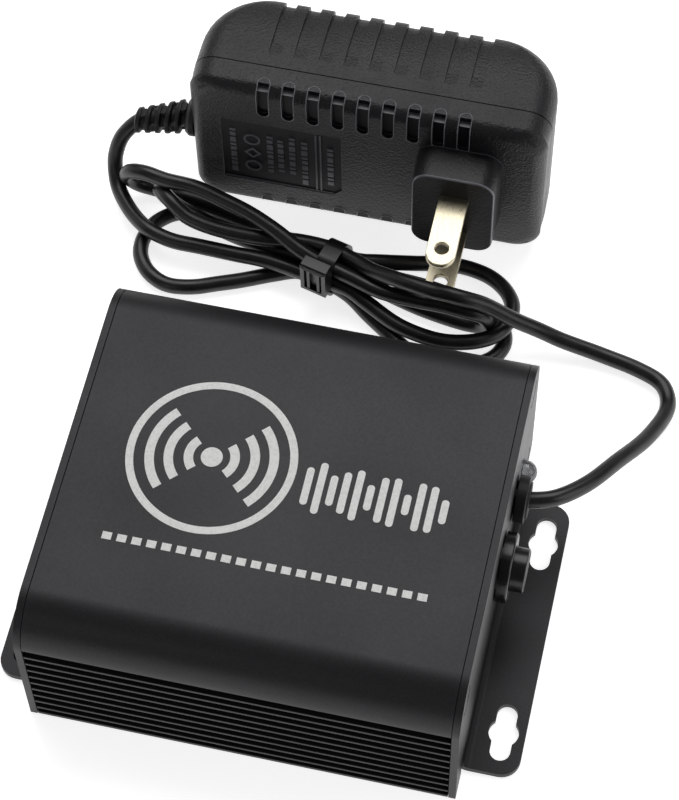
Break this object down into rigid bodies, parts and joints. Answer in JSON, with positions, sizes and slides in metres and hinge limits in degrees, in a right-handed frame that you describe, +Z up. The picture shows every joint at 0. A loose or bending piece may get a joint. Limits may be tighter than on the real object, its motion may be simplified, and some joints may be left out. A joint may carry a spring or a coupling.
{
  "type": "ultrasonic pest repeller",
  "caption": "Low finned aluminium box with bent feet, keyhole slots, a push switch and a lamp on one end, wired by a folded and tied lead to a plug-in wall adapter.",
  "frame": {"origin": "middle of the box's footprint with its feet, on the surface it stands on; the wall adapter and the cord lie behind it on the same surface", "axes": "+X along the fins towards the end with the switch, +Y from the box towards the wall adapter, +Z up"},
  "size_m": [0.1362, 0.1587, 0.0433],
  "materials": {
    "anodised_aluminium": "charcoal anodised, fine sand-blasted",
    "black_steel": "black zinc plated",
    "black_plastic": "moulded, satin",
    "gloss_plastic": "moulded, polished",
    "clear_plastic": "clear moulded epoxy",
    "rubber": "moulded black rubber",
    "nickel_plate": "nickel plated brass, satin",
    "steel": "drawn spring wire",
    "circuit_laminate": "green solder mask",
    "ferrite": "sintered, dull",
    "capacitor_sleeve": "shrunk sleeve",
    "tweeter_cone": "pressed fibre",
    "adapter_plastic": "moulded, fine spark-eroded texture",
    "cord_jacket": "satin PVC jacket",
    "black_nylon": "moulded nylon, satin"
  },
  "bodies": {
    "repeller": {"finned_case": "anodised_aluminium", "right_end_plate": "anodised_aluminium", "left_end_plate": "anodised_aluminium", "right_front_lower_screw": "black_steel", "right_front_upper_screw": "black_steel", "right_back_lower_screw": "black_steel", "right_back_upper_screw": "black_steel", "left_front_lower_screw": "black_steel", "left_front_upper_screw": "black_steel", "left_back_lower_screw": "black_steel", "left_back_upper_screw": "black_steel", "switch_barrel": "black_plastic", "switch_nut": "nickel_plate", "switch_contact_block": "black_plastic", "switch_front_terminal": "nickel_plate", "switch_back_terminal": "nickel_plate", "switch_spring": "steel", "cord_grommet": "rubber", "inner_lead": "rubber", "status_led": "clear_plastic", "led_holder": "black_plastic", "circuit_board": "circuit_laminate", "step_up_transformer": "ferrite", "supply_capacitor": "capacitor_sleeve", "drive_capacitor": "capacitor_sleeve", "controller_chip": "black_plastic", "drive_transistor": "black_plastic", "supply_connector": "black_plastic", "front_tweeter_grille": "nickel_plate", "front_tweeter_frame": "black_plastic", "front_tweeter_cone": "tweeter_cone", "back_tweeter_grille": "nickel_plate", "back_tweeter_frame": "black_plastic", "back_tweeter_cone": "tweeter_cone", "adapter_front_case": "adapter_plastic", "adapter_rear_case": "adapter_plastic", "prong_block": "adapter_plastic", "upper_blade": "nickel_plate", "lower_blade": "nickel_plate", "adapter_board": "circuit_laminate", "adapter_transformer": "ferrite", "adapter_capacitor": "capacitor_sleeve", "strain_relief_boot": "rubber", "adapter_lead": "cord_jacket", "cord_hank": "cord_jacket", "box_lead": "cord_jacket", "cable_tie_strap": "black_nylon", "cable_tie_head": "black_nylon"},
    "push_cap": {"switch_cap": "gloss_plastic"}
  },
  "joints": [
    {"name": "switch_press", "type": "slide", "parent": "repeller", "child": "push_cap", "axis": [-1, 0, 0], "range_m": [0, 0.0022], "stiffness_N_per_m": 450, "springref_m": -0.004}
  ]
}
